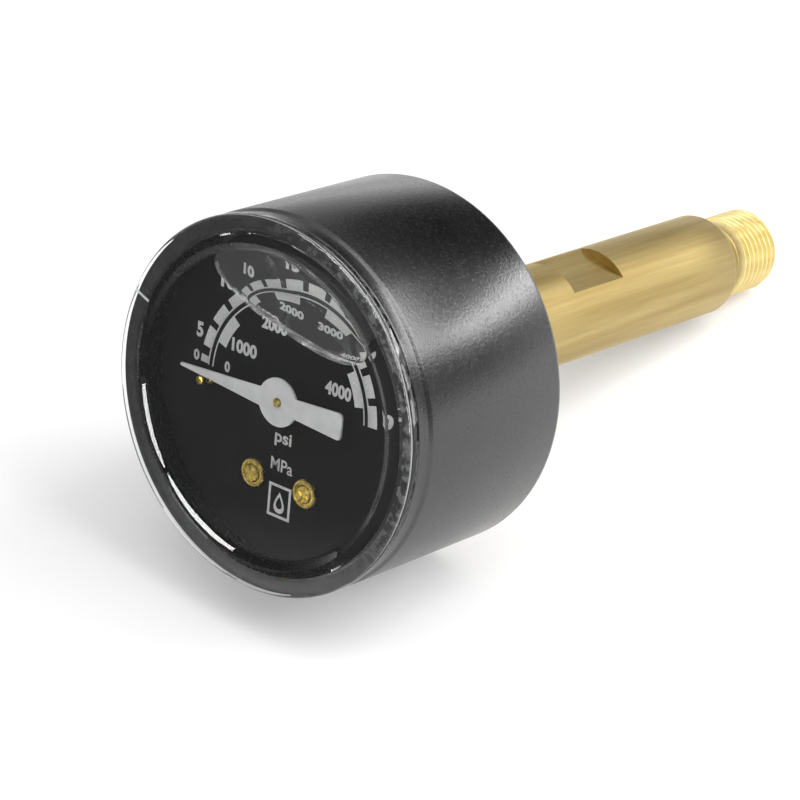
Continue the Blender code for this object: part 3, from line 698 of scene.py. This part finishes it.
def make_stem(look):
    low, high = FLATS_Z
    steps = 144
    first = FLATS_ROLL + math.pi / 2

    def shape(angle, r, z):
        if r == THREAD_R:
            return thread_radius(angle, z, THREAD_END + 0.3, -1.75)
        if r == STEM_R and low <= z <= high:
            lean = abs(math.cos(angle - first))
            if lean * r > FLATS_HALF:
                return FLATS_HALF / lean
        return r

    stem = lathe("stem_fine", stem_profile(), steps, (0.0, 0.0), shape)
    cutters = [drill("flange_hole", 0.95, (50.0, 61.0), (x, 0.0)) for x in (-CASE_SCREW_X, CASE_SCREW_X)]
    cut(stem, *cutters)
    return piece(stem, look, "housing", ["stem"], 25.0)


# ---- dial and print ------------------------------------------------------------------------------------
PRINT_Z = (DIAL_Z + 0.022, DIAL_Z + 0.045)


def dial_point(degrees, r):
    """Point on the dial at an angle clockwise from nine o'clock."""
    a = math.radians(degrees)
    return -r * math.cos(a), r * math.sin(a)


def sector(work, start, end, inner, outer):
    """Thin printed patch between two angles and two radii."""
    count = max(2, int(abs(end - start) / 1.5) + 1)
    angles = [start + (end - start) * i / (count - 1) for i in range(count)]
    rows = []
    for r, z in ((inner, PRINT_Z[0]), (outer, PRINT_Z[0]), (outer, PRINT_Z[1]), (inner, PRINT_Z[1])):
        rows.append([work.verts.new(world(*dial_point(a, r), z)) for a in angles])
    for k in range(4):
        first, second = rows[k], rows[(k + 1) % 4]
        for i in range(count - 1):
            work.faces.new((first[i], first[i + 1], second[i + 1], second[i]))
    work.faces.new([row[0] for row in rows])
    work.faces.new([row[-1] for row in rows][::-1])


def make_scale(name, patches, look):
    work = bmesh.new()
    for patch in patches:
        sector(work, *patch)
    return piece(from_bmesh(name, work, 1e-8), look, "housing")


def make_text(name, words, look, weight=0.042):
    """Words as (text, x, y, width, height), in bold upright capitals printed on the dial."""
    work = bmesh.new()
    for text, x, y, width, height in words:
        curve = bpy.data.curves.new("word", "FONT")
        curve.body = text
        curve.align_x, curve.align_y = "CENTER", "CENTER"
        curve.size = 1.0
        curve.offset = weight
        curve.extrude = 0.5
        curve.resolution_u = 4
        carrier = new_object("word", curve)
        depsgraph = bpy.context.evaluated_depsgraph_get()
        mesh = bpy.data.meshes.new_from_object(carrier.evaluated_get(depsgraph))
        bpy.data.objects.remove(carrier, do_unlink=True)
        xs = [v.co.x for v in mesh.vertices]
        ys = [v.co.y for v in mesh.vertices]
        wide, tall = max(xs) - min(xs), max(ys) - min(ys)
        cx, cy = (max(xs) + min(xs)) / 2, (max(ys) + min(ys)) / 2
        for v in mesh.vertices:
            z = PRINT_Z[1] if v.co.z > 0 else PRINT_Z[0]
            v.co = world(x + (v.co.x - cx) * width / wide, y + (v.co.y - cy) * height / tall, z)
        work.from_mesh(mesh)
        bpy.data.meshes.remove(mesh)
    return piece(from_bmesh(name, work, 1e-8), look, "housing")


def mpa_angle(pressure):
    return 17.2 + (pressure - 5) * 6.16


def make_print(look):
    outer = [(2.0, 177.0, 11.0, 11.18), (2.5, 6.5, 11.1, 12.2)]
    outer += [(11.5 + 15.4 * k, 23.0 + 15.4 * k, 11.1, 12.2) for k in range(11)]
    make_scale("scale_mpa", outer, look)
    inner = [(2.0, 177.0, 10.4, 10.55)]
    inner += [(c - 10.65, c + 10.65, 9.3, 10.45) for c in (29.2, 71.7, 114.2, 156.5)]
    make_scale("scale_psi", inner, look)
    words = []
    for pressure, r in ((5, 13.2), (10, 13.8), (15, 13.9), (20, 13.9), (25, 14.0), (30, 14.0)):
        x, y = dial_point(mpa_angle(pressure), r)
        words.append((str(pressure), x, y, 0.9 if pressure < 10 else 1.9, 1.7))
    words.append(("0", *dial_point(4.5, 12.9), 0.8, 1.2))
    make_text("numerals_mpa", words, look)
    words = [("1000", 30.4, 7.3), ("2000", 72.0, 7.8), ("3000", 113.5, 7.9), ("4000", 155.2, 7.4)]
    words = [(text, *dial_point(angle, r), 3.5, 1.5) for text, angle, r in words]
    words.append(("0", *dial_point(6.5, 8.5), 0.75, 1.2))
    make_text("numerals_psi", words, look)
    make_text("unit_psi", [("psi", 0.0, -4.5, 2.3, 1.75)], look, 0.02)
    make_text("unit_mpa", [("MPa", 0.1, -7.4, 3.0, 1.4)], look, 0.01)


def make_drop_sign(look):
    """Plain square with an open drop, the usual sign for a liquid filling."""
    cx, cy, w, h, line = 0.15, -11.4, 3.1, 3.7, 0.3
    work = bmesh.new()

    def loop(points, inset):
        """A band of the print that follows a closed line."""
        rows = []
        for ring, z in ((points, PRINT_Z[0]), (inset, PRINT_Z[0]), (inset, PRINT_Z[1]), (points, PRINT_Z[1])):
            rows.append([work.verts.new(world(x, y, z)) for x, y in ring])
        count = len(points)
        for k in range(4):
            first, second = rows[k], rows[(k + 1) % 4]
            for i in range(count):
                j = (i + 1) % count
                work.faces.new((first[i], first[j], second[j], second[i]))

    def frame_line(half_w, half_h):
        return [(cx - half_w, cy - half_h), (cx + half_w, cy - half_h), (cx + half_w, cy + half_h),
                (cx - half_w, cy + half_h)]

    def drop(scale):
        points = []
        for i in range(40):
            t = 2 * math.pi * i / 40
            points.append((cx + scale * math.sin(t) * math.sin(t / 2) ** 1.4 * 0.95,
                           cy - 0.12 + scale * math.cos(t) * 1.15))
        return points

    loop(frame_line(w / 2, h / 2), frame_line(w / 2 - line, h / 2 - line))
    loop(drop(1.05), drop(0.62))
    return piece(from_bmesh("mark_filling_drop", work, 1e-8), look, "housing")


def make_dial(look):
    edge = 0.12
    back = DIAL_Z - DIAL_T
    profile = [(1.42, DIAL_Z), (DIAL_R - edge, DIAL_Z), (DIAL_R, DIAL_Z - edge), (DIAL_R, back + edge),
               (DIAL_R - edge, back), (1.3, back), (1.3, DIAL_Z - edge)]
    dial = lathe("dial_fine", profile, 160)
    span = (69.0, 72.0)
    cut(dial, drill("pin_hole", 0.45, span, STOP_PIN, 32),
        drill("screw_hole_l", 0.95, span, (-DIAL_SCREW[0], DIAL_SCREW[1]), 32),
        drill("screw_hole_r", 0.95, span, DIAL_SCREW, 32))
    return piece(dial, look, "housing", ["dial_plate"])


def make_pointer(look):
    blade_root, tip_half, tail_root, tail_half = 0.95, 0.16, 1.0, 1.45
    upper, lower = math.asin(blade_root / HUB_R), math.asin(tail_root / HUB_R)
    over = arc(HUB_R, math.pi - upper, lower, 25)
    under = arc(HUB_R, -lower, -math.pi + upper, 25)
    corner = [(POINTER_TAIL - 0.5, tail_half), (POINTER_TAIL - 0.15, tail_half - 0.12),
              (POINTER_TAIL, tail_half - 0.45)]
    tail = corner + [(x, -y) for x, y in corner[::-1]]
    end = -POINTER_TIP
    outline = [(end + 0.12, tip_half)] + over + tail + under + [(end + 0.12, -tip_half), (end, 0.0)]
    pointer = prism("pointer_fine", outline[::-1], POINTER_Z, POINTER_Z + POINTER_T, 0.07)
    cut(pointer, drill("hub_hole", 0.52, (72.0, 75.0), steps=32))
    return piece(pointer, look, "pointer", ["pointer"])


def make_stop_pin(look):
    foot, top = DIAL_Z + 0.12, POINTER_Z + POINTER_T + 0.1
    profile = [(0.0, top), (0.28, top), (0.44, top - 0.07), (0.5, top - 0.2), (0.5, top - 0.85),
               (0.42, top - 0.97), (0.42, foot + 0.55), (0.64, foot + 0.46), (0.72, foot + 0.36)]
    profile += [(0.72, foot), (0.32, foot), (0.32, DIAL_Z - DIAL_T), (0.0, DIAL_Z - DIAL_T)]
    return piece(lathe("stop_pin_fine", profile, 40, STOP_PIN), look, "housing", ["stop_pin"])


def make_dial_screw(side, x, turn, look):
    """Rimmed head with a raised boss and a cross slot."""
    under = DIAL_Z + 0.1
    tip = 65.8
    profile = [(0.0, under + 0.72), (0.86, under + 0.72), (0.98, under + 0.62), (1.06, under + 0.42),
               (1.22, under + 0.4), (1.3, under + 0.5), (1.46, under + 0.52), (1.56, under + 0.44),
               (1.6, under + 0.3), (1.6, under), (0.6, under), (0.6, tip), (0.0, tip)]
    screw = lathe(f"dial_screw_{side}_fine", profile, 64, (x, DIAL_SCREW[1]))
    where = (x, DIAL_SCREW[1], under + 0.85)
    cut(screw, box_cutter("slot_a", (0.34, 1.7, 0.9), where, turn),
        box_cutter("slot_b", (1.7, 0.34, 0.9), where, turn))
    return piece(screw, look, "housing", [f"dial_screw_{side}"])


# ---- stage, light and camera ---------------------------------------------------------------------------
UP = Vector((0.068, -0.238, 0.969)).normalized()   # square to the floor, which the gauge lies on askew
FLOOR_AT = -0.0066                                 # height of the floor below the origin
AIM = Vector((0.0, -0.045, 0.0))                   # middle of the gauge, which the lamps face


def floor_look():
    """White paper that glows a little. Mirrored in the window it is dark to the front left, a painted shade
    that only glossy rays see, and seen from far off it is plain white."""
    look = Look("floor_white", (0.86, 0.86, 0.86), 0.9, specular=0.1)
    # painted shade: the floor's colour and glow drop to the front left, for glossy rays only
    dark_zone = look.span(look.along(look.coords(), (-0.62, -0.78, 0.0)), 0.0, 1.0, 0.065, 0.13, ease=True)
    tone = look.mix(look.math("MULTIPLY", dark_zone, look.ray("Is Glossy Ray")), (0.62, 0.62, 0.62),
                    (0.16, 0.16, 0.16))
    look.set("Base Color", tone)
    look.set("Emission Color", tone)
    distance = look.node("ShaderNodeVectorMath", operation="LENGTH")
    look.feed(look.coords(), distance.inputs[0])
    far = look.span(distance.outputs["Value"], 0.0, 1.2, 0.16, 0.4)
    seen = look.math("MULTIPLY", far, look.ray("Is Camera Ray"))
    look.set("Emission Strength", look.math("ADD", seen, 0.5))
    return look.material


def make_floor():
    """White sweep on which the back edge of the case and the end of the thread rest."""
    side = UP.cross(Vector((0.0, 1.0, 0.0))).normalized()
    ahead = side.cross(UP).normalized()
    size, cells = 3.0, 24
    work = bmesh.new()
    grid = []
    for i in range(cells + 1):
        row = []
        for j in range(cells + 1):
            u, v = size * (i / cells - 0.5), size * (j / cells - 0.5)
            row.append(work.verts.new(UP * FLOOR_AT + side * u + ahead * v))
        grid.append(row)
    for i in range(cells):
        for j in range(cells):
            work.faces.new((grid[i][j], grid[i + 1][j], grid[i + 1][j + 1], grid[i][j + 1]))
    floor = from_bmesh("floor", work)
    floor.data.materials.append(floor_look())
    if floor.data.polygons[0].normal.dot(UP) < 0:
        floor.data.flip_normals()


def toward(azimuth, elevation):
    """Direction from the gauge. Azimuth 0 is in front of the dial and 90 to its right; both angles are taken
    from the floor."""
    right = Vector((1.0, 0.0, 0.0))
    right = (right - UP * right.dot(UP)).normalized()
    front = UP.cross(right).normalized()
    if front.y > 0:
        front = -front
    a, e = math.radians(azimuth), math.radians(elevation)
    return front * math.cos(a) * math.cos(e) + right * math.sin(a) * math.cos(e) + UP * math.sin(e)


def area_lamp(name, size, power):
    """Rectangular lamp, not yet placed."""
    lamp = bpy.data.lights.new(name, "AREA")
    lamp.shape = "RECTANGLE"
    lamp.size, lamp.size_y = size
    lamp.energy = power
    return new_object(name, lamp)


def make_softbox(name, azimuth, elevation, distance, size, power):
    """Soft box that stands upright and faces the gauge."""
    direction = toward(azimuth, elevation)
    lamp = area_lamp(name, size, power)
    lamp.location = AIM + direction * distance
    lamp.rotation_mode = "QUATERNION"
    lamp.rotation_quaternion = (-direction).to_track_quat("-Z", "Y")


def make_tube_lamp(name, start, end, distance, width, power):
    """Narrow lamp stretched between two directions from the gauge."""
    first, last = toward(*start) * distance, toward(*end) * distance
    along = last - first
    lamp = area_lamp(name, (along.length, width), power)
    z = (first + last).normalized()
    x = (along - z * along.dot(z)).normalized()
    turn = Matrix((x, z.cross(x), z)).transposed().to_4x4()
    lamp.matrix_world = Matrix.Translation(AIM + (first + last) / 2) @ turn
    lamp.visible_diffuse = False    # it only draws bright lines in what is polished


def make_world():
    """Pale studio: bright near the horizon, darker above, brighter behind the gauge on its left, with a
    dark card high behind it. The eye sees plain white."""
    made = bpy.data.worlds.new("studio")
    bpy.context.scene.world = made
    made.use_nodes = True
    sky = Tree(made.node_tree)
    direction = sky.coords("Generated")
    ramp = sky.node("ShaderNodeValToRGB")
    stops = [(0.0, 0.9), (0.5, 0.9), (0.57, 0.45), (0.65, 0.28), (0.75, 0.2), (0.9, 0.5), (1.0, 0.6)]
    for at, value in stops[1:-1]:
        ramp.color_ramp.elements.new(at)
    for element, (at, value) in zip(ramp.color_ramp.elements, stops):
        element.position = at
        element.color = (value, value, value, 1.0)
    sky.feed(sky.span(sky.along(direction, UP), 0.0, 1.0, -1.0, 1.0), ramp.inputs["Fac"])
    gain = sky.span(sky.along(direction, (-0.6, 0.78, 0.15)), 0.8, 2.4, 0.1, 0.85)
    dark_zone = sky.span(sky.along(direction, (-0.1, 0.76, 0.64)), 1.0, 0.04, 0.86, 0.96, ease=True)
    lit = sky.mix(1.0, sky.mix(1.0, ramp.outputs["Color"], gain, "MULTIPLY"), dark_zone, "MULTIPLY")
    background = made.node_tree.nodes["Background"]
    sky.feed(sky.mix(sky.ray("Is Camera Ray"), lit, (1.0, 1.0, 1.0)), background.inputs["Color"])
    background.inputs["Strength"].default_value = 1.0


def make_camera():
    data = bpy.data.cameras.new("camera")
    data.lens = 143.4
    data.sensor_width = 36.0
    data.clip_start, data.clip_end = 0.01, 20.0
    camera = new_object("camera", data)
    right, up = Vector((0.759, 0.6446, 0.0903)), Vector((-0.299, 0.2221, 0.9278))
    forward = Vector((-0.578, 0.7315, -0.3613))
    turn = Matrix((right, up, -forward)).transposed()
    camera.matrix_world = Matrix.Translation((0.1968, -0.3044, 0.1185)) @ turn.to_4x4()
    bpy.context.scene.camera = camera


# ---- putting it together -------------------------------------------------------------------------------
def dress_cad_nodes(looks):
    """Procedural materials for the CAD nodes that show as they are."""
    by_look = {
        "rubber": ["stem_seal", "fill_plug"],
        "steel": ["case_screw_left", "case_screw_right", "movement_screw_left", "movement_screw_right",
                  "pillar_screw"],
        "turned": ["dial_spacer_left", "dial_spacer_right", "pinion_arbor", "sector_arbor",
                   "link_pin_sector", "link_pin_tip", "pillar_lower_left", "pillar_lower_right",
                   "pillar_upper", "hairspring_collet", "hairspring_stud", "restrictor_screw"],
        "rolled": ["movement_front_plate", "movement_back_plate", "sector_gear", "link", "tube_tip"],
        "bronze": ["bourdon_tube", "hairspring"],
    }
    for key, names in by_look.items():
        for name in names:
            obj = frame["nodes"][name]
            obj.data.materials.clear()
            obj.data.materials.append(looks[key])


def build():
    make_camera()
    make_floor()
    make_world()
    make_softbox("key_strip", 151.0, 20.5, 0.7, (0.5, 0.09), 1.3)
    make_softbox("side_box", 112.0, 48.0, 0.75, (0.55, 0.55), 6.0)
    make_softbox("top_box", 20.0, 78.0, 0.8, (0.6, 0.6), 2.5)
    make_tube_lamp("front_tube_low", (17.0, 3.0), (7.0, 28.0), 0.6, 0.07, 1.15)
    make_tube_lamp("front_tube_high", (4.0, 32.0), (-38.0, 35.0), 0.6, 0.08, 2.0)
    scene = bpy.context.scene
    scene.view_settings.view_transform = "Standard"
    brass = turned_brass()
    looks = {"rubber": seal_rubber(), "steel": screw_steel(), "turned": brass, "rolled": rolled_brass(),
             "bronze": tube_bronze()}
    dress_cad_nodes(looks)
    white = print_white()
    make_case(satin_black())
    make_seal(joint_bead())
    make_stem(drawn_brass())
    make_dial(dial_paint())
    make_print(white)
    make_drop_sign(white)
    make_pointer(pointer_paint())
    make_stop_pin(brass)
    make_dial_screw("left", -DIAL_SCREW[0], math.radians(20), brass)
    make_dial_screw("right", DIAL_SCREW[0], math.radians(-15), brass)
    clear = clear_look("window_acrylic", (0.985, 0.99, 0.99), 1.49, 0.0, 0.05)
    liquid = clear_look("filling_liquid", (0.99, 0.99, 0.985), 1.46)
    make_window_and_liquid(clear, wetted_look(), liquid)


build()
